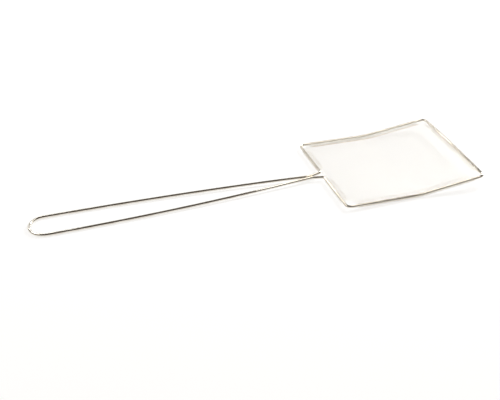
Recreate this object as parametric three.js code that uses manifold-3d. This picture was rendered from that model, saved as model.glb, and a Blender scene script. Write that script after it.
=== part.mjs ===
// Wire skimmer: a fine wire cloth on a bent rectangular frame, with a long hairpin handle.
// One continuous round wire makes the handle and the frame. The cloth is woven from thin wires,
// and each of them goes over the frame wire, round it and back underneath as the hem.
// Millimetres, +X from the handle to the front edge, +Z up, lying on a table at Z = 0.
// X is counted from the head's rear edge, and the last lines move the origin under the middle.

import * as THREE from 'three';
import { mergeVertices } from 'three/addons/utils/BufferGeometryUtils.js';
import Module from 'manifold-3d';

// Head frame, between the centre lines of its wire
const HEAD_WIDTH = 153.5;
const HEAD_LENGTH = 179;
const CORNER_RADIUS = 6;
const FRAME_WIRE = 3.5;

// Bend across the head: both halves rise from the line that rests on the table
const LOWEST_LINE = 84;
const BEND_RADIUS = 165;
const REAR_TILT = THREE.MathUtils.degToRad(1.2);
const FRONT_TILT = THREE.MathUtils.degToRad(7);

// Handle: an end loop, two legs that close to a pinch, and a neck that opens into the rear edge
const HANDLE_LENGTH = 356;
const GRIP_WIDTH = 37;
const GRIP_EASE = 186;
const PINCH_EASE = 10;
const PINCH_TO_HEAD = 18.5;
const NECK_SPREAD = 10;
const NECK_FLARE = THREE.MathUtils.degToRad(15);
const NECK_BEND_RADIUS = 4;

// Welds
const BUTT_WELD_LENGTH = 3;
const BUTT_WELD_BULGE = 0.25;
const NECK_WELD_LENGTH = 9;
const NECK_WELD_WEB = 0.4;

// Wire cloth, woven wider and from thicker wire than the real one, with its weight
const CLOTH_WIRE = 0.65;
const WARP_COUNT = 14;
const WEFT_COUNT = 18;
const HEM_RETURN = 8;

// Clearance between wires that lie on each other
const CLEARANCE = 0.3;

// Facets
const FRAME_SIDES = 12;
const ARC_STEPS = 6;
const BEND_STEPS = 5;
const LEG_STEPS = 14;
const CLOTH_SIDES = 4;
const HEM_STEPS = 7;
const BEAD_SEGMENTS = 16;

const frameRadius = FRAME_WIRE / 2;
const hemRadius = frameRadius + CLEARANCE + CLOTH_WIRE / 2;
const hemReach = hemRadius + CLOTH_WIRE / 2;
const crimp = (CLOTH_WIRE + CLEARANCE) / 2;
const halfWidth = HEAD_WIDTH / 2;
const gripHalf = GRIP_WIDTH / 2;
const pinchHalf = frameRadius + CLEARANCE + NECK_WELD_WEB / 2;
const loopHalfStep = Math.PI / (4 * ARC_STEPS + 2);
const loopCentre = gripHalf * Math.cos(loopHalfStep) - HANDLE_LENGTH;
const neckEdge = NECK_SPREAD / 2 + NECK_BEND_RADIUS * Math.cos(NECK_FLARE);
const bendStart = LOWEST_LINE - BEND_RADIUS * Math.sin(REAR_TILT);
const bendEnd = LOWEST_LINE + BEND_RADIUS * Math.sin(FRONT_TILT);

// Height of the frame wire's centre line over the table, in the side view
function headHeight(x) {
  const onBend = THREE.MathUtils.clamp(x, bendStart, bendEnd);
  const sag = Math.sqrt(BEND_RADIUS ** 2 - (onBend - LOWEST_LINE) ** 2);
  const tilt = x < onBend ? -REAR_TILT : FRONT_TILT;
  return hemReach + BEND_RADIUS - sag + (x - onBend) * Math.tan(tilt);
}

// The handle sags from the rear edge to its end loop, which lies on the table
function wireHeight(x) {
  if (x >= 0) return headHeight(x);
  const share = Math.min(x / loopCentre, 1);
  return THREE.MathUtils.lerp(frameRadius, headHeight(0), (1 - share) ** 2);
}

// A wire bent at given points. Its section keeps the sideways direction that the caller gives for
// each tangent, so that the same flat of the section faces down all along the wire.
class BentWire extends THREE.Curve {
  constructor(points, sideways) {
    super();
    this.points = points;
    this.sideways = sideways;
  }

  get last() {
    return this.points.length - 1;
  }

  getPointAt(share) {
    return this.points[Math.round(share * this.last)].clone();
  }

  getTangentAt(share) {
    const index = Math.round(share * this.last);
    const here = this.points[index];
    const arriving = here.clone().sub(this.points[Math.max(index - 1, 0)]).normalize();
    const leaving = this.points[Math.min(index + 1, this.last)].clone().sub(here).normalize();
    return arriving.add(leaving).normalize();
  }

  computeFrenetFrames(segments) {
    const shares = Array.from({ length: segments + 1 }, (_, i) => i / segments);
    const tangents = shares.map((share) => this.getTangentAt(share));
    const binormals = tangents.map((tangent) => this.sideways(tangent));
    const normals = tangents.map((tangent, i) => binormals[i].clone().cross(tangent).normalize());
    return { tangents, normals, binormals };
  }
}

// Regular section with a flat on each side, top and bottom, given its width across flats
function wireSection(width, sides) {
  const cornerRadius = width / 2 / Math.cos(Math.PI / sides);
  const corners = Array.from({ length: sides }, (_, i) => {
    const angle = (2 * i + 1) * Math.PI / sides;
    return new THREE.Vector2(cornerRadius * Math.cos(angle), cornerRadius * Math.sin(angle));
  });
  return new THREE.Shape(corners);
}

function bentWire(points, sideways, section) {
  const path = new BentWire(points, sideways);
  return new THREE.ExtrudeGeometry(section, { steps: path.last, extrudePath: path });
}

// Handle and frame wire

// Plan of one half of the wire, from the butt weld round the head and along the handle to its end
function halfPlan() {
  const plan = new THREE.Path();
  const cornerY = halfWidth - CORNER_RADIUS;
  plan.moveTo(HEAD_LENGTH, BUTT_WELD_LENGTH / 2);
  plan.lineTo(HEAD_LENGTH, cornerY);
  plan.absarc(HEAD_LENGTH - CORNER_RADIUS, cornerY, CORNER_RADIUS, 0, Math.PI / 2);
  for (let i = 0; i <= BEND_STEPS; i++) {
    plan.lineTo(THREE.MathUtils.lerp(bendEnd, bendStart, i / BEND_STEPS), halfWidth);
  }
  plan.absarc(CORNER_RADIUS, cornerY, CORNER_RADIUS, Math.PI / 2, Math.PI);
  plan.absarc(-NECK_BEND_RADIUS, neckEdge, NECK_BEND_RADIUS, 0, NECK_FLARE - Math.PI / 2, true);
  const flareRun = (NECK_SPREAD / 2 - pinchHalf) / Math.tan(NECK_FLARE);
  const flareCorner = plan.currentPoint.x - flareRun;
  plan.quadraticCurveTo(flareCorner, pinchHalf, -PINCH_TO_HEAD, pinchHalf);
  const pinchEnd = -PINCH_TO_HEAD - PINCH_EASE;
  const gripEnd = loopCentre + GRIP_EASE;
  plan.bezierCurveTo(pinchEnd, pinchHalf, gripEnd, gripHalf, loopCentre, gripHalf);
  plan.absarc(loopCentre, 0, gripHalf, Math.PI / 2, Math.PI - loopHalfStep);
  return plan;
}

function planPoints(plan) {
  const points = plan.curves.flatMap((curve) => {
    if (curve.isLineCurve) return curve.getPoints(1);
    return curve.getPoints(curve.isCubicBezierCurve ? LEG_STEPS : ARC_STEPS);
  });
  const tolerance = FRAME_WIRE / 1000;
  return points.filter((point, i) => i === 0 || point.distanceTo(points[i - 1]) > tolerance);
}

const halfRoute = planPoints(halfPlan()).map((p) => new THREE.Vector3(p.x, p.y, wireHeight(p.x)));
const otherRoute = halfRoute.map((p) => new THREE.Vector3(p.x, -p.y, p.z)).reverse();
const level = (tangent) => new THREE.Vector3(0, 0, 1).cross(tangent).normalize();

function handleFrameWire() {
  return bentWire([...halfRoute, ...otherRoute], level, wireSection(FRAME_WIRE, FRAME_SIDES));
}

// Welds

// Barrel between the two ends of the wire, in the middle of the front edge
function buttWeld() {
  const half = BUTT_WELD_LENGTH / 2;
  const profile = [[0, -half], [frameRadius, -half], [frameRadius + BUTT_WELD_BULGE, -half / 3],
    [frameRadius + BUTT_WELD_BULGE, half / 3], [frameRadius, half], [0, half]];
  const points = profile.map(([radius, along]) => new THREE.Vector2(radius, along));
  const barrel = new THREE.LatheGeometry(points, FRAME_SIDES);
  return barrel.translate(HEAD_LENGTH, 0, wireHeight(HEAD_LENGTH));
}

const wasm = await Module();
wasm.setup();

function toSolid(geometry) {
  const bare = mergeVertices(geometry.deleteAttribute('normal').deleteAttribute('uv'));
  return new wasm.Manifold(new wasm.Mesh({
    numProp: 3,
    vertProperties: Float32Array.from(bare.attributes.position.array),
    triVerts: Uint32Array.from(bare.index.array),
  }));
}

function toGeometry(solid) {
  const mesh = solid.getMesh();
  const geometry = new THREE.BufferGeometry();
  geometry.setAttribute('position', new THREE.BufferAttribute(mesh.vertProperties, 3));
  geometry.setIndex(new THREE.BufferAttribute(mesh.triVerts, 1));
  return geometry;
}

// Bead in the two valleys between the pinched legs, joined by a web between them
function neckWeld() {
  const bead = new THREE.SphereGeometry(1, BEAD_SEGMENTS, BEAD_SEGMENTS / 2);
  bead.rotateX(Math.PI / 2);
  bead.scale(NECK_WELD_LENGTH / 2, pinchHalf, frameRadius);
  bead.translate(-PINCH_TO_HEAD, 0, wireHeight(-PINCH_TO_HEAD));
  const seat = wireSection(FRAME_WIRE + 2 * CLEARANCE, FRAME_SIDES);
  const legs = [halfRoute, otherRoute].map((route) => toSolid(bentWire(route, level, seat)));
  return toGeometry(toSolid(bead).subtract(legs[0]).subtract(legs[1]));
}

// Wire cloth

const spread = (count, from, to) =>
  Array.from({ length: count }, (_, i) => THREE.MathUtils.lerp(from, to, i / (count - 1)));

// The outermost wires stay clear of the frame's corners and of the other wires' returns
const inset = Math.max(CORNER_RADIUS, HEM_RETURN + CLOTH_WIRE + CLEARANCE);
const warpPlaces = spread(WARP_COUNT, inset - halfWidth, halfWidth - inset);
const weftPlaces = spread(WEFT_COUNT, inset, HEAD_LENGTH - inset);
const crimpSide = (warp, weft) => ((warp + weft) % 2 ? 1 : -1);

// Side view of a hem: x inwards from the frame wire's centre, y above it. It starts at the cut end
// of the return, goes under the frame wire and round its outside, and ends on top of it.
function hem(tilt) {
  const cutEnd = new THREE.Vector2(HEM_RETURN, hemRadius - crimp - CLOTH_WIRE - CLEARANCE);
  const seatStart = cutEnd.angle() - Math.acos(hemRadius / cutEnd.length());
  const angles = spread(HEM_STEPS + 1, seatStart, -1.5 * Math.PI);
  const seat = angles.map((a) => new THREE.Vector2(Math.cos(a), Math.sin(a)).multiplyScalar(hemRadius));
  return [cutEnd, ...seat].map((point) => point.rotateAround(new THREE.Vector2(), -tilt));
}

// Lengthwise wire. Where the rear edge opens into the neck there is nothing to fold it round.
function warpWire(warp) {
  const y = warpPlaces[warp];
  const at = (x, z) => new THREE.Vector3(x, y, z);
  const reachesEdge = Math.abs(y) - CLOTH_WIRE / 2 >= neckEdge;
  const rearHem = reachesEdge ? hem(REAR_TILT) : [new THREE.Vector2(0, hemRadius)];
  const points = rearHem.map((p) => at(p.x, wireHeight(0) + p.y));
  weftPlaces.forEach((x, weft) => {
    points.push(at(x, wireHeight(x) + hemRadius + crimp * crimpSide(warp, weft)));
  });
  const frontHem = hem(FRONT_TILT).reverse();
  points.push(...frontHem.map((p) => at(HEAD_LENGTH - p.x, wireHeight(HEAD_LENGTH) + p.y)));
  const sideways = () => new THREE.Vector3(0, 1, 0);
  return bentWire(points, sideways, wireSection(CLOTH_WIRE, CLOTH_SIDES));
}

// Crosswise wire, folded round both side wires
function weftWire(weft) {
  const x = weftPlaces[weft];
  const z = wireHeight(x);
  const nearHem = hem(0).map((p) => new THREE.Vector3(x, p.x - halfWidth, z + p.y));
  const farHem = hem(0).reverse().map((p) => new THREE.Vector3(x, halfWidth - p.x, z + p.y));
  const crossings = warpPlaces.map((y, warp) =>
    new THREE.Vector3(x, y, z + hemRadius - crimp * crimpSide(warp, weft)));
  const sideways = () => new THREE.Vector3(1, 0, 0);
  return bentWire([...nearHem, ...crossings, ...farHem], sideways, wireSection(CLOTH_WIRE, CLOTH_SIDES));
}

// Assembly

const skimmer = new THREE.Group();

function add(name, geometry, color, roughness) {
  const material = new THREE.MeshStandardMaterial({ color, roughness, metalness: 1 });
  const mesh = new THREE.Mesh(geometry, material);
  mesh.name = name;
  skimmer.add(mesh);
}

const number = (index) => String(index + 1).padStart(2, '0');
const PLATED_WIRE = 0xb9b4a8;
const PLATED_CLOTH = 0xd6d2c6;
const WELD = 0xa8a296;

add('handle_frame_wire', handleFrameWire(), PLATED_WIRE, 0.25);
add('front_butt_weld', buttWeld(), WELD, 0.4);
add('neck_weld', neckWeld(), WELD, 0.4);
warpPlaces.forEach((_, i) => add(`mesh_warp_${number(i)}`, warpWire(i), PLATED_CLOTH, 0.35));
weftPlaces.forEach((_, i) => add(`mesh_weft_${number(i)}`, weftWire(i), PLATED_CLOTH, 0.35));

// The origin lies on the table under the middle of the skimmer's length
skimmer.position.x = (HANDLE_LENGTH + frameRadius - HEAD_LENGTH - hemReach) / 2;

export default skimmer;
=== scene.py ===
"""Wire skimmer, dressed in the frame of its solids: the smooth plated wire of the handle and head, its
two welds, and the fine woven wire cloth with its hems, on a white studio floor."""

import bpy
import numpy as np
from mathutils import Matrix, Vector


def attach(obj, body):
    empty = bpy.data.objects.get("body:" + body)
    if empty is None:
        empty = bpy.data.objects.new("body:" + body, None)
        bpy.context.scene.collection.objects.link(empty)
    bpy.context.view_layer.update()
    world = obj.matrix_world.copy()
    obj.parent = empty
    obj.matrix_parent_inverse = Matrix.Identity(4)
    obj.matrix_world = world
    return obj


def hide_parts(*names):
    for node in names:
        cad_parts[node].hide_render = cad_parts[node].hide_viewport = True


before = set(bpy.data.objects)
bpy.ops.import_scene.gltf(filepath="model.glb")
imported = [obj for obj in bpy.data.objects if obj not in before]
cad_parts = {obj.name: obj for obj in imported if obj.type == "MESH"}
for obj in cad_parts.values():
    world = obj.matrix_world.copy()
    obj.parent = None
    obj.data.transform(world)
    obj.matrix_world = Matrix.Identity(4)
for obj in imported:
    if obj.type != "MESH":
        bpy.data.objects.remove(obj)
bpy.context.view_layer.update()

# Sizes of the solids, in millimetres. X is counted from the head's rear edge, and place() moves it.
HEAD_WIDTH = 153.5
HEAD_LENGTH = 179.0
CORNER_RADIUS = 6.0
FRAME_RADIUS = 1.75
LOWEST_LINE = 84.0
BEND_RADIUS = 165.0
REAR_TILT = np.radians(1.2)
FRONT_TILT = np.radians(7)
HANDLE_LENGTH = 356.0
GRIP_WIDTH = 37.0
GRIP_EASE = 186.0
PINCH_EASE = 10.0
PINCH_TO_HEAD = 18.5
PINCH_HALF = 2.25
NECK_SPREAD = 10.0
NECK_FLARE = np.radians(15)
NECK_BEND_RADIUS = 4.0
BUTT_WELD_LENGTH = 3.0
NECK_WELD_LENGTH = 9.0
HEM_REACH = 2.7
HEM_RETURN = 8.0

# The front edge is bent by hand and rises a little to its weld, which the solids leave out
WELD_LIFT = 1.2

# Rings of the wire. One close to each end keeps the smooth shading off the flat end.
WIRE_SIDES = 24
END_RING = 0.05

# Weld beads: lumps on the collar of the butt weld, and ripples along the neck weld
BEAD_SIDES = 32
BEAD_TIP = 0.05
COLLAR_SWELL = 0.14
COLLAR_SPREAD = 0.45
RIPPLE_SWELL = 0.05
RIPPLE_PITCH = 0.9
RIPPLE_BOW = 1.2
NECK_WELD_HEIGHT = 0.97 * FRAME_RADIUS

# Wire cloth: 16 wires to the inch. The far side's hem is cut wider, since its raw end is seen.
CLOTH_PITCH = 25.4 / 16
CLOTH_RADIUS = 0.1
CLOTH_SIDES = 6
CLOTH_SLACK = 0.6
CLOTH_GAP = 0.05
MOST_WIRES = 200
SNUG = FRAME_RADIUS + 2 * CLOTH_RADIUS + CLOTH_GAP
LOOSE = HEM_REACH - 2 * CLOTH_RADIUS
CUT_HEIGHT = SNUG - 4.5 * CLOTH_RADIUS
LENGTH_STEPS = 241
WIDTH_STEPS = 121
CORNER_NOTCH = 14.0
NECK_NOTCH = 14.0
REAR_CUT = 0.6
FAR_RETURN = 11.0
RAW_EDGE = 1.6

HALF_WIDTH = HEAD_WIDTH / 2
HALF_GRIP = GRIP_WIDTH / 2
LOOP_CENTRE = HALF_GRIP - HANDLE_LENGTH
NECK_EDGE = NECK_SPREAD / 2 + NECK_BEND_RADIUS * np.cos(NECK_FLARE)
ORIGIN_SHIFT = (HANDLE_LENGTH + FRAME_RADIUS - HEAD_LENGTH - HEM_REACH) / 2

# Camera and light, in metres. The photograph's lens is 900 of its pixels long on 500 across.
EYE = (-0.29825, -0.86731, 0.57979)
EYE_TURN = np.radians(18.637)
EYE_DIP = np.radians(32.947)
EYE_ROLL = np.radians(0.161)
LENS_SHARE = 900 / 500
SENSOR = 36.0
SWEEP_START = 2.1
SWEEP_RADIUS = 0.4
SWEEP_TOP = 0.9
ARCH_CENTRE = 0.2
ARCH_RADIUS = 2.3
FLOOR_REACH = 20.0
FLOOR_DROP = 0.0001
PAPER_GLOW = 0.79
ROOM_LEVEL = 0.115

# Lamps: name, place, point faced, direction of the first side, the two sides in metres, watts
LAMPS = [
    ("lamp_far_right", (1.2, 0.68, 0.87), (0, 0, 0), (1, 0, 0), (0.5, 0.5), 19),
    ("lamp_far_left", (-1.0, 0.65, 1.4), (0, 0, 0), (1, 0, 0), (0.8, 0.8), 11),
    ("panel_overhead", (0.58, 0.35, 1.2), (0.58, 0.35, 0), (1, 0, 0), (0.34, 0.9), 2.8),
    ("strip_behind", (-0.581, 2.341, 1.895), (0.18, 0, 0.01), (0.927, 0, 0.375), (1.4, 0.235), 5.37),
]


def place(points):
    """Millimetres from the head's rear edge to metres in the shared frame: shift along X, then scale. The
    front edge is lifted at its weld, and the lift falls evenly to the sides and with the square of the
    distance to the lowest line."""
    x, y, z = points.T
    reach = np.clip((x - LOWEST_LINE) / (HEAD_LENGTH - LOWEST_LINE), 0, 1)
    lift = WELD_LIFT * reach ** 2 * np.clip(1 - np.abs(y) / HALF_WIDTH, 0, 1)
    return np.column_stack([x + ORIGIN_SHIFT, y, z + lift]) * 0.001


def head_height(x):
    """Height of the frame wire's centre line: an arc of the bend radius about the lowest line, and on
    either side of it a straight slope that leaves the arc along its tangent."""
    start = LOWEST_LINE - BEND_RADIUS * np.sin(REAR_TILT)
    end = LOWEST_LINE + BEND_RADIUS * np.sin(FRONT_TILT)
    on_bend = np.clip(x, start, end)
    arc = HEM_REACH + BEND_RADIUS - np.sqrt(BEND_RADIUS ** 2 - (on_bend - LOWEST_LINE) ** 2)
    return arc + (x - on_bend) * np.tan(np.where(x < on_bend, -REAR_TILT, FRONT_TILT))


def wire_height(x):
    """Height of the whole wire: the head's height ahead of the rear edge, and behind it a parabola that
    falls to the handle's end, where the wire lies on the table."""
    share = np.clip(x / LOOP_CENTRE, 0, 1)
    sagging = FRAME_RADIUS + (head_height(0.0) - FRAME_RADIUS) * (1 - share) ** 2
    return np.where(x >= 0, head_height(np.maximum(x, 0)), sagging)


def arc(x, y, radius, start, end, steps):
    """Points on a circle round (x, y), with the angle going evenly from start to end."""
    angle = np.linspace(start, end, steps)
    return np.column_stack([x + radius * np.cos(angle), y + radius * np.sin(angle)])


def bezier(corners, steps):
    """Bezier curve by repeated blends: each round mixes neighbouring corner points by the parameter,
    until one row of points is left."""
    share = np.linspace(0, 1, steps)[:, None]
    rows = [np.broadcast_to(np.array(corner, float), (steps, 2)) for corner in corners]
    while len(rows) > 1:
        rows = [a + (b - a) * share for a, b in zip(rows, rows[1:])]
    return rows[0]


def wire_route():
    """Centre line of the bent wire: half a plan of lines, arcs and easing curves from the butt weld
    round the head and along the handle, then its mirror image, both lifted to the wire's height."""
    corner_y = HALF_WIDTH - CORNER_RADIUS
    quarter = np.pi / 2
    straight = np.linspace(HEAD_LENGTH - CORNER_RADIUS, CORNER_RADIUS, 60)
    weld_end = BUTT_WELD_LENGTH / 2
    front = weld_end + np.append(0, np.linspace(END_RING, corner_y - weld_end, 30))
    neck = arc(-NECK_BEND_RADIUS, NECK_EDGE, NECK_BEND_RADIUS, 0, NECK_FLARE - quarter, 16)
    flare_corner = neck[-1, 0] - (NECK_SPREAD / 2 - PINCH_HALF) / np.tan(NECK_FLARE)
    pinch = (-PINCH_TO_HEAD, PINCH_HALF)
    eased = [pinch, (-PINCH_TO_HEAD - PINCH_EASE, PINCH_HALF),
             (LOOP_CENTRE + GRIP_EASE, HALF_GRIP), (LOOP_CENTRE, HALF_GRIP)]
    half = np.concatenate([
        np.column_stack([np.full_like(front, HEAD_LENGTH), front]),
        arc(HEAD_LENGTH - CORNER_RADIUS, corner_y, CORNER_RADIUS, 0, quarter, 16)[1:],
        np.column_stack([straight, np.full_like(straight, HALF_WIDTH)])[1:-1],
        arc(CORNER_RADIUS, corner_y, CORNER_RADIUS, quarter, 2 * quarter, 16),
        neck,
        bezier([neck[-1], (flare_corner, PINCH_HALF), pinch], 16)[1:],
        bezier(eased, 80)[1:],
        arc(LOOP_CENTRE, 0, HALF_GRIP, quarter, 2 * quarter, 28)[1:],
    ])
    plan = np.concatenate([half, half[-2::-1] * [1, -1]])
    return np.column_stack([plan, wire_height(plan[:, 0])])


def unit(vectors):
    """Vectors divided by their lengths."""
    return vectors / np.linalg.norm(vectors, axis=-1, keepdims=True)


def tubes(centres, across, up, radius, sides, run):
    """Round wires: at each station a ring of points, its centre plus the radius times the cosine along
    one direction and the sine along the other. Rings of the same run are joined by four-sided faces, and
    a fan of four-sided faces closes each end."""
    angle = np.arange(sides) * 2 * np.pi / sides
    ring = (across[:, None] * np.cos(angle)[:, None] + up[:, None] * np.sin(angle)[:, None]) * radius
    points = (centres[:, None] + ring).reshape(-1, 3)
    side = np.arange(sides)
    joined = np.flatnonzero(run[1:] == run[:-1])[:, None] * sides
    following = (side + 1) % sides
    walls = np.stack([joined + side, joined + following,
                      joined + sides + following, joined + sides + side], -1).reshape(-1, 4)
    fan = np.arange(1, sides - 2, 2)[:, None] + np.arange(3)
    fan = np.column_stack([np.zeros(len(fan), int), fan])
    turn = np.flatnonzero(run[1:] != run[:-1])
    first = np.concatenate([[0], turn + 1])[:, None, None] * sides
    last = np.concatenate([turn, [len(run) - 1]])[:, None, None] * sides
    caps = np.concatenate([(first + fan[:, ::-1]).reshape(-1, 4), (last + fan).reshape(-1, 4)])
    return points, np.concatenate([walls, caps])


def piece(name, points, faces, material, slot, replaced, **measures):
    """A smooth mesh of four-sided faces in its place, with named numbers on its points, which rides on
    the one body and stands for the solids it replaces."""
    mesh = bpy.data.meshes.new(name)
    mesh.vertices.add(len(points))
    mesh.vertices.foreach_set("co", place(points).ravel())
    mesh.loops.add(faces.size)
    mesh.loops.foreach_set("vertex_index", faces.ravel().astype(np.int32))
    mesh.polygons.add(len(faces))
    mesh.polygons.foreach_set("loop_start", np.arange(0, faces.size, 4, dtype=np.int32))
    mesh.polygons.foreach_set("use_smooth", np.ones(len(faces), bool))
    for measure, values in measures.items():
        mesh.attributes.new(measure, "FLOAT", "POINT").data.foreach_set("value", values)
    mesh.update(calc_edges=True)
    mesh.materials.append(material)
    made = bpy.data.objects.new(name, mesh)
    bpy.context.scene.collection.objects.link(made)
    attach(made, "root")
    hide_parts(*replaced)


def linear(code):
    """An sRGB hex colour as linear red, green, blue and alpha."""
    share = np.array([int(code[i:i + 2], 16) for i in (1, 3, 5)]) / 255
    return (*np.where(share <= 0.04045, share / 12.92, ((share + 0.055) / 1.055) ** 2.4), 1.0)


def add_node(tree, kind, inputs=(), **settings):
    """Adds a node with its settings, and links or fills its inputs."""
    node = tree.nodes.new(kind)
    for name, value in settings.items():
        setattr(node, name, value)
    for name, value in dict(inputs).items():
        if isinstance(value, bpy.types.NodeSocket):
            tree.links.new(value, node.inputs[name])
        else:
            node.inputs[name].default_value = value
    return node


def new_material(name):
    """An empty node material and its tree."""
    material = bpy.data.materials.new(name)
    material.use_nodes = True
    material.node_tree.nodes.clear()
    return material, material.node_tree


def noise(tree, here, size, detail=2.0):
    """Noise in the object's own space, with features of a size in metres."""
    made = add_node(tree, "ShaderNodeTexNoise",
                    {"Vector": here.outputs["Object"], "Scale": 1 / size, "Detail": detail})
    return made.outputs["Fac"]


def two_tones(tree, factor, low, high):
    """A colour that goes from one tone to another, each with its place on the factor and its sRGB hex."""
    ramp = add_node(tree, "ShaderNodeValToRGB", {"Fac": factor})
    for element, (position, code) in zip(ramp.color_ramp.elements, (low, high)):
        element.position, element.color = position, linear(code)
    return ramp.outputs["Color"]


def spread(tree, value, come, go):
    """A value mapped evenly from one range to another."""
    made = add_node(tree, "ShaderNodeMapRange", {"Value": value, "From Min": come[0], "From Max": come[1],
                                                 "To Min": go[0], "To Max": go[1]})
    return made.outputs["Result"]


def metal(tree, colour, roughness, **normal):
    """Bare metal as the material's surface."""
    shader = add_node(tree, "ShaderNodeBsdfPrincipled",
                      {"Base Color": colour, "Metallic": 1.0, "Roughness": roughness, **normal})
    add_node(tree, "ShaderNodeOutputMaterial", {"Surface": shader.outputs["BSDF"]})


def nickel_plated_wire():
    """Drawn steel wire with a bright nickel plate. A near mirror with a warm grey tone, streaked along
    its length by the drawing die, and slightly cloudy where hands and oil have dulled it."""
    material, tree = new_material("nickel_plated_drawn_steel_wire")
    along = add_node(tree, "ShaderNodeAttribute", attribute_name="along")
    around = add_node(tree, "ShaderNodeAttribute", attribute_name="around")
    # Die lines: 40 mm long and 0.5 mm apart, wider than real ones so that they show
    lines_at = add_node(tree, "ShaderNodeCombineXYZ",
                        {"X": along.outputs["Fac"], "Y": around.outputs["Fac"]})
    lines_scaled = add_node(tree, "ShaderNodeMapping",
                            {"Vector": lines_at.outputs["Vector"], "Scale": (1 / 40, 1 / 0.5, 1)})
    lines = add_node(tree, "ShaderNodeTexNoise", {"Vector": lines_scaled.outputs["Vector"], "Scale": 1.0,
                                                  "Detail": 2.0}, noise_dimensions="2D")
    here = add_node(tree, "ShaderNodeTexCoord")
    # Dull clouds about 12 mm across
    clouds = noise(tree, here, 0.012, 3.0)
    tone = two_tones(tree, clouds, (0.35, "#DAD4C9"), (0.65, "#EBE7DE"))
    blur = spread(tree, clouds, (0.3, 0.7), (0.10, 0.05))
    grooves = add_node(tree, "ShaderNodeBump",
                       {"Height": lines.outputs["Fac"], "Strength": 0.12, "Distance": 0.0001})
    metal(tree, tone, blur, Normal=grooves.outputs["Normal"])
    return material


def plated_weld():
    """Weld bead under the same plate. Duller and darker than the wire, pitted, and browned by heat."""
    material, tree = new_material("plated_weld_bead")
    here = add_node(tree, "ShaderNodeTexCoord")
    # Pits 0.5 mm across and brown stains 2 mm across
    pits = noise(tree, here, 0.0005)
    stains = noise(tree, here, 0.002)
    tone = two_tones(tree, stains, (0.35, "#9C8A74"), (0.65, "#C6BDAE"))
    blur = spread(tree, pits, (0.3, 0.7), (0.45, 0.28))
    dents = add_node(tree, "ShaderNodeBump", {"Height": pits, "Strength": 0.35, "Distance": 0.0002})
    metal(tree, tone, blur, Normal=dents.outputs["Normal"])
    return material


def woven_wire_cloth():
    """Fine steel wire, woven and then plated. Pale and satin rather than a mirror: bright and rubbed
    smooth on the knuckles of the weave, duller and creamier in its hollows."""
    material, tree = new_material("plated_woven_wire_cloth")
    knuckle = add_node(tree, "ShaderNodeAttribute", attribute_name="knuckle")
    here = add_node(tree, "ShaderNodeTexCoord")
    # Patches of dull plate about 15 mm across
    patches = noise(tree, here, 0.015, 3.0)
    rubbed = add_node(tree, "ShaderNodeMath", {0: knuckle.outputs["Fac"], 1: patches}, operation="ADD")
    tone = two_tones(tree, rubbed.outputs["Value"], (0.3, "#EFE9DF"), (0.9, "#FBF8F2"))
    # Raw cut end of the far side's hem, painted brown as shade: it faces away from the lamps, and the
    # other cut ends are left pale
    raw = add_node(tree, "ShaderNodeAttribute", attribute_name="raw")
    cut_end_shade = add_node(tree, "ShaderNodeMix",
                       {"Factor": raw.outputs["Fac"], "A": tone, "B": linear("#CC9850")}, data_type="RGBA")
    blur = spread(tree, rubbed.outputs["Value"], (0.3, 1.2), (0.40, 0.27))
    metal(tree, cut_end_shade.outputs["Result"], blur)
    return material


def white_paper():
    """Matt white paper, overexposed to white in the photograph. Part of it is a glow that is seen and
    mirrored, warmer than the rest, and its matt part keeps the faint warm shadow."""
    material, tree = new_material("matt_white_paper")
    here = add_node(tree, "ShaderNodeTexCoord")
    # Fibres about 4 mm long
    tone = two_tones(tree, noise(tree, here, 0.004), (0.0, "#989CA2"), (1.0, "#9CA0A6"))
    matt = add_node(tree, "ShaderNodeBsdfDiffuse", {"Color": tone})
    ray = add_node(tree, "ShaderNodeLightPath")
    seen = add_node(tree, "ShaderNodeMath", {0: ray.outputs["Is Camera Ray"],
                                             1: ray.outputs["Is Glossy Ray"]}, operation="MAXIMUM")
    any_seen = add_node(tree, "ShaderNodeMath", {0: seen.outputs["Value"],
                                                 1: ray.outputs["Is Transmission Ray"]},
                        operation="MAXIMUM")
    level = add_node(tree, "ShaderNodeMath", {0: any_seen.outputs["Value"], 1: PAPER_GLOW},
                     operation="MULTIPLY")
    glow = add_node(tree, "ShaderNodeEmission", {"Color": linear("#FFFDFA"),
                                                 "Strength": level.outputs["Value"]})
    both = add_node(tree, "ShaderNodeAddShader", {0: matt.outputs["BSDF"], 1: glow.outputs["Emission"]})
    add_node(tree, "ShaderNodeOutputMaterial", {"Surface": both.outputs["Shader"]})
    return material


def make_wire(material):
    """The one bent wire of the handle and the head's frame: a round section carried along its route."""
    route = wire_route()
    run = np.zeros(len(route), int)
    forward = unit(np.gradient(route, axis=0))
    level = unit(np.cross([0.0, 0.0, 1.0], forward))
    points, faces = tubes(route, level, np.cross(forward, level), FRAME_RADIUS, WIRE_SIDES, run)
    steps = np.linalg.norm(np.diff(route, axis=0), axis=1)
    along = np.repeat(np.concatenate([[0], np.cumsum(steps)]), WIRE_SIDES)
    facet = 2 * np.pi * FRAME_RADIUS / WIRE_SIDES
    around = np.tile(np.abs(np.arange(WIRE_SIDES) - WIRE_SIDES / 2) * facet, len(route))
    piece("plated_wire", points, faces, material, "plated_wire", ["handle_frame_wire"],
          along=along, around=around)


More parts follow.
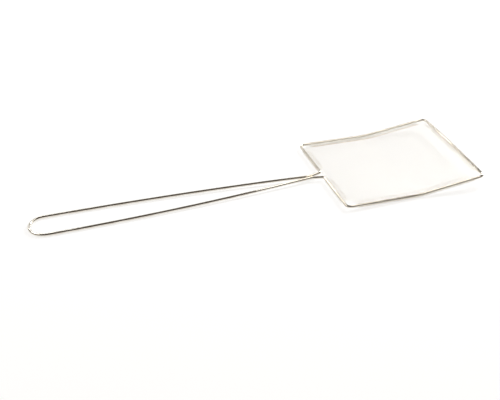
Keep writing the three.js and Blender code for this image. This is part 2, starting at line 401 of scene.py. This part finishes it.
def closed_bead(name, along, radii, centre, half_sizes, axis, material, replaced):
    """Weld bead: rings across its axis, each an ellipse times its own radius at each angle, closed at
    both ends. Along Y the ring runs the other way round, so that the faces look outwards."""
    rings, sides = radii.shape
    angle = np.arange(sides) * 2 * np.pi / sides
    first, second = [i for i in range(3) if i != axis]
    points = np.zeros((rings, sides, 3))
    points[..., axis] = along[:, None] * half_sizes[axis]
    points[..., first] = radii * np.cos(angle) * half_sizes[first]
    points[..., second] = radii * np.sin(angle) * half_sizes[second] * (1 if axis != 1 else -1)
    run = np.zeros(rings, int)
    _, faces = tubes(points[:, 0], points[:, 0], points[:, 0], 1.0, sides, run)
    piece(name, points.reshape(-1, 3) + centre, faces, material, "weld", replaced)


def make_welds(material):
    """The butt weld is a lumpy collar round the two ends of the wire: a radius of one plus a bell curve
    times three and five waves. The neck weld is a rippled bead in the valleys between the pinched legs:
    an ellipsoid whose radius rises and falls at the ripples' pitch."""
    angle = np.arange(BEAD_SIDES) * 2 * np.pi / BEAD_SIDES
    along = np.linspace(-1, 1, 21)
    swell = np.exp(-(along / COLLAR_SPREAD) ** 2)[:, None]
    lumps = 1 + 0.25 * np.sin(3 * angle + 0.6) + 0.15 * np.sin(5 * angle + 2.0)
    collar = 1.0 + COLLAR_SWELL * swell * lumps
    closed_bead("butt_weld_bead", along, collar, np.array([HEAD_LENGTH, 0, wire_height(HEAD_LENGTH)]),
                (FRAME_RADIUS, BUTT_WELD_LENGTH / 2, FRAME_RADIUS), 1, material, ["front_butt_weld"])
    along = -np.cos(np.linspace(BEAD_TIP, np.pi - BEAD_TIP, 61))
    reach = np.sqrt(1 - along ** 2)[:, None]
    waves = along[:, None] * NECK_WELD_LENGTH / 2 / RIPPLE_PITCH
    ripple = 1 + RIPPLE_SWELL * np.cos(2 * np.pi * waves - RIPPLE_BOW * np.cos(angle) ** 2)
    closed_bead("neck_weld_bead", along, reach * ripple,
                np.array([-PINCH_TO_HEAD, 0, wire_height(-PINCH_TO_HEAD)]),
                (NECK_WELD_LENGTH / 2, PINCH_HALF, NECK_WELD_HEIGHT), 0, material, ["neck_weld"])


def hem_section(returns):
    """Section of a hem from the top of the frame wire outwards, round and under it to the cut end of the
    return: an arc whose radius eases from snug on top to loose underneath, then a straight run that
    leaves it along its tangent. Inwards and up from the wire's centre."""
    cut = np.array([returns, CUT_HEIGHT])
    leaves = np.arctan2(cut[1], cut[0]) - np.arccos(LOOSE / np.hypot(*cut)) + 2 * np.pi
    angle = np.linspace(np.pi / 2, leaves, 80)
    radius = SNUG + (LOOSE - SNUG) * (1 - np.cos(np.minimum(angle - np.pi / 2, np.pi))) / 2
    bend = np.column_stack([radius * np.cos(angle), radius * np.sin(angle)])
    run = bend[-1] + (cut - bend[-1]) * np.linspace(0, 1, 30)[1:, None]
    return np.concatenate([bend, run])


def turned(section, tilt):
    """A section turned by a tilt in its own plane."""
    return section @ np.array([[np.cos(tilt), np.sin(tilt)], [-np.sin(tilt), np.cos(tilt)]])


class ClothLine:
    """A line across the cloth, drawn in a plane, as a function of the length of cloth along it."""

    def __init__(self, points, middle):
        steps = np.linalg.norm(np.diff(points, axis=0), axis=1)
        run = np.concatenate([[0], np.cumsum(steps)])
        self.length = run - run[middle]
        self.points = points
        self.slopes = unit(np.gradient(points, run, axis=0))

    def at(self, length):
        """Place and direction, both read off by linear steps between the line's points."""
        place_at = [np.interp(length, self.length, self.points[:, i]) for i in (0, 1)]
        slope_at = [np.interp(length, self.length, self.slopes[:, i]) for i in (0, 1)]
        return np.stack(place_at, -1), unit(np.stack(slope_at, -1))

    def reach(self, place_on_first_axis, between):
        """Length of cloth at a place on the first axis, within the stretch between the hems."""
        low, high = between
        return np.interp(place_on_first_axis, self.points[low:high, 0], self.length[low:high])


def cloth_lines():
    """The cloth's lengthwise line, in X and height, and its crosswise line, in Y and height over the
    frame wire: a hem, the stretch between the two edges, and a hem the other way round. Also the first
    and last point of the lengthwise line between its hems."""
    hem = hem_section(HEM_RETURN)
    start = len(hem) - 1
    x = np.linspace(0, HEAD_LENGTH, LENGTH_STEPS)
    height = head_height(x)
    slope = np.arctan(np.gradient(height, x))
    top = np.column_stack([x - SNUG * np.sin(slope), height + SNUG * np.cos(slope)])
    rear = turned(hem, slope[0])[::-1] + [0, height[0]]
    front = turned(hem * [-1, 1], slope[-1]) + [HEAD_LENGTH, height[-1]]
    lengthwise = ClothLine(np.concatenate([rear[:-1], top, front[1:]]), start + LENGTH_STEPS // 2)
    y = np.linspace(-HALF_WIDTH, HALF_WIDTH, WIDTH_STEPS)
    flat = np.column_stack([y, np.full_like(y, SNUG)])
    near = hem[::-1] - [HALF_WIDTH, 0]
    far = hem_section(FAR_RETURN) * [-1, 1] + [HALF_WIDTH, 0]
    crosswise = ClothLine(np.concatenate([near[:-1], flat, far[1:]]), start + WIDTH_STEPS // 2)
    return lengthwise, crosswise, (start, start + LENGTH_STEPS)


def cloth_at(lengthwise, crosswise, across, along):
    """A point of the cloth as a function of the two lengths of cloth: the lengthwise line, moved by the
    crosswise line in Y and along the lengthwise line's normal, less a slack that is deepest in the middle
    of the head. Also the two directions of the wires there."""
    place_l, slope_l = lengthwise.at(along)
    place_c, slope_c = crosswise.at(across)
    zero = np.zeros_like(slope_l[..., 0])
    forward = np.stack([slope_l[..., 0], zero, slope_l[..., 1]], -1)
    above = np.stack([-slope_l[..., 1], zero, slope_l[..., 0]], -1)
    sideways = np.stack([zero, slope_c[..., 0], zero], -1) + above * slope_c[..., 1:]
    share_x = np.clip(place_l[..., 0] / HEAD_LENGTH, 0, 1)
    share_y = np.clip(place_c[..., 0] / HEAD_WIDTH, -0.5, 0.5)
    slack = CLOTH_SLACK * np.sin(np.pi * share_x) * np.cos(np.pi * share_y)
    lift = place_c[..., 1] - SNUG - slack
    centre = np.stack([place_l[..., 0], place_c[..., 0], place_l[..., 1]], -1) + above * lift[..., None]
    return centre, forward, sideways


def stations(crossings, wire, low, high):
    """Stations of one wire between two ends: two over each crossing wire, a quarter of the pitch to
    either side of it, where the wire lies flat, and one at each cut end. Also the side it passes on."""
    passed = np.flatnonzero((crossings > low) & (crossings < high))
    at = crossings[passed]
    flat = np.column_stack([at - CLOTH_PITCH / 4, at + CLOTH_PITCH / 4]).ravel()
    side = np.repeat(1.0 - 2.0 * ((passed + wire) % 2), 2)
    ends = at[0] - CLOTH_PITCH / 2, at[-1] + CLOTH_PITCH / 2
    return np.concatenate([ends[:1], flat, ends[1:]]), np.concatenate([[0], side, [0]])


def make_cloth(material):
    """Warp wires run lengthwise and weft wires across, each over and under the others by its own radius.
    They fold round the frame wire as hems. The cloth is cut off at the corners and open at the neck."""
    lengthwise, crosswise, between = cloth_lines()
    count = np.arange(-MOST_WIRES, MOST_WIRES + 1)
    warps = count * CLOTH_PITCH
    warps = warps[(warps > crosswise.length[0]) & (warps < crosswise.length[-1])]
    wefts = (count + 0.5) * CLOTH_PITCH
    wefts = wefts[(wefts > lengthwise.length[0]) & (wefts < lengthwise.length[-1])]
    weft_x = lengthwise.at(wefts)[0][:, 0]
    first, last = lengthwise.length[between[0]], lengthwise.length[between[1] - 1]
    cut_length = lengthwise.length[[0, -1]]
    cut_width = crosswise.length[[0, -1]]

    def along(x):
        """Length of cloth at a place along the head."""
        return lengthwise.reach(x, between)

    warp_ends = []
    for wire, across in enumerate(warps):
        inside = HALF_WIDTH - abs(across)
        notch = CORNER_NOTCH - np.clip(inside, 0, CORNER_NOTCH)
        low, high = (along(notch), along(HEAD_LENGTH - notch)) if notch > 0 else cut_length
        if abs(across) < NECK_NOTCH:
            low = along(REAR_CUT)
        warp_ends.append((wire, low, high))
    weft_ends = []
    for wire, (at, x) in enumerate(zip(wefts, weft_x)):
        on_edge = at < first or at > last
        notch = CORNER_NOTCH - min(x, HEAD_LENGTH - x, CORNER_NOTCH)
        half = HALF_WIDTH - (CORNER_NOTCH if on_edge else notch)
        low, high = (-half, half) if on_edge or notch > 0 else cut_width
        if at < first:
            weft_ends += [(wire, low, -NECK_NOTCH), (wire, NECK_NOTCH, high)]
        else:
            weft_ends.append((wire, low, high))

    def wires(name, ends, own, crossings, lengthways, replaced):
        """One piece of many wires, each between its own two ends. On the far side's cut end they carry the
        painted shade of the raw end:
            wholly within half the raw edge's width, and less and less up to one and a half of it."""
        parts = [stations(crossings, wire, low, high) for wire, low, high in ends]
        counts = [len(part[0]) for part in parts]
        run = np.repeat(np.arange(len(parts)), counts)
        place_on = np.concatenate([part[0] for part in parts])
        side = np.concatenate([part[1] for part in parts]) * (1 if lengthways else -1)
        fixed = np.repeat(own[[wire for wire, _, _ in ends]], counts)
        pair = (fixed, place_on) if lengthways else (place_on, fixed)
        centre, forward, sideways = cloth_at(lengthwise, crosswise, *pair)
        above = np.cross(forward, sideways)
        centre = centre + above * (side * CLOTH_RADIUS)[:, None]
        over = sideways if lengthways else -forward
        points, faces = tubes(centre, over, above, CLOTH_RADIUS, CLOTH_SIDES, run)
        height = np.sin(np.arange(CLOTH_SIDES) * 2 * np.pi / CLOTH_SIDES)
        knuckle = np.clip((side[:, None] + height) / 2, 0, 1).ravel()
        # Mask of the painted shade on the raw end, on the far side's cut end only
        raw = np.repeat(np.clip(1.5 - (cut_width[1] - pair[0]) / RAW_EDGE, 0, 1), CLOTH_SIDES)
        piece(name, points, faces, material, "wire_cloth", replaced, knuckle=knuckle, raw=raw)

    nodes = sorted(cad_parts)
    warp_nodes = [node for node in nodes if node.startswith("mesh_warp")]
    weft_nodes = [node for node in nodes if node.startswith("mesh_weft")]
    middle = len(warp_ends) // 2
    wires("cloth_warp_near", warp_ends[:middle], warps, wefts, True, warp_nodes[:7])
    wires("cloth_warp_far", warp_ends[middle:], warps, wefts, True, warp_nodes[7:])
    middle = len(weft_ends) // 2
    wires("cloth_weft_rear", weft_ends[:middle], wefts, warps, False, weft_nodes[:9])
    wires("cloth_weft_front", weft_ends[middle:], wefts, warps, False, weft_nodes[9:])


def make_floor(material):
    """A wide sheet of paper just under the skimmer, which curves up behind it: a line, a quarter of a
    circle and an upright line, carried along X. In the middle its top edge rises in half a circle."""
    bend = arc(SWEEP_START, SWEEP_RADIUS, SWEEP_RADIUS, -np.pi / 2, 0, 17)
    profile = np.concatenate([[[-FLOOR_REACH, 0]], bend, [[SWEEP_START + SWEEP_RADIUS, SWEEP_TOP]]])
    rise = arc(ARCH_CENTRE, 0, ARCH_RADIUS, np.pi, 0, 65)
    x, y = np.meshgrid(np.concatenate([[-FLOOR_REACH], rise[:, 0], [FLOOR_REACH]]), profile[:, 0])
    z = np.broadcast_to(profile[:, 1:], x.shape) - FLOOR_DROP
    z[-1, 1:-1] = np.maximum(rise[:, 1], SWEEP_TOP)
    corner = np.arange(x.size).reshape(x.shape)
    faces = np.stack([corner[:-1, :-1], corner[:-1, 1:], corner[1:, 1:], corner[1:, :-1]], -1)
    points = np.stack([x, y, z], -1).reshape(-1, 3)
    mesh = bpy.data.meshes.new("floor")
    mesh.from_pydata(points.tolist(), [], faces.reshape(-1, 4).tolist())
    mesh.materials.append(material)
    floor = bpy.data.objects.new("floor", mesh)
    bpy.context.scene.collection.objects.link(floor)


def make_camera():
    """The photograph's camera: turned from the Y axis, dipped below the horizon and rolled a little."""
    lens = bpy.data.cameras.new("camera")
    lens.sensor_fit = "HORIZONTAL"
    lens.sensor_width = SENSOR
    lens.lens = SENSOR * LENS_SHARE
    camera = bpy.data.objects.new("camera", lens)
    turn = Matrix.Rotation(-EYE_TURN, 4, "Z") @ Matrix.Rotation(np.pi / 2 - EYE_DIP, 4, "X")
    camera.matrix_world = Matrix.Translation(EYE) @ turn @ Matrix.Rotation(EYE_ROLL, 4, "Z")
    bpy.context.scene.collection.objects.link(camera)
    bpy.context.scene.camera = camera


def add_lamp(name, place_at, faces, along, size, power):
    """A soft lamp: a rectangle that faces a point, with its first side along a direction."""
    light = bpy.data.lights.new(name, "AREA")
    light.shape = "RECTANGLE"
    light.size, light.size_y = size
    light.energy = power
    light.color = linear("#FFFDF8")[:3]
    lamp = bpy.data.objects.new(name, light)
    back = (Vector(place_at) - Vector(faces)).normalized()
    up = back.cross(Vector(along)).normalized()
    turn = Matrix((up.cross(back), up, back)).transposed().to_4x4()
    lamp.matrix_world = Matrix.Translation(place_at) @ turn
    bpy.context.scene.collection.objects.link(lamp)


def make_light():
    """A dim even room, so that the upper side of a mirror wire is dark. Two soft lamps light the cloth
    from places that no straight wire mirrors to the camera. A faint panel overhead is mirrored by the
    near leg of the handle beside the neck, and a narrow strip behind by the far half of the front edge
    and the near half of the rear edge."""
    world = bpy.data.worlds.new("room")
    world.use_nodes = True
    world.node_tree.nodes.clear()
    glow = add_node(world.node_tree, "ShaderNodeBackground",
                    {"Color": linear("#FFEFE2"), "Strength": ROOM_LEVEL})
    add_node(world.node_tree, "ShaderNodeOutputWorld", {"Surface": glow.outputs["Background"]})
    bpy.context.scene.world = world
    for lamp in LAMPS:
        add_lamp(*lamp)


make_camera()
make_light()
make_floor(white_paper())
make_wire(nickel_plated_wire())
make_welds(plated_weld())
make_cloth(woven_wire_cloth())
bpy.context.scene.view_settings.view_transform = "Standard"
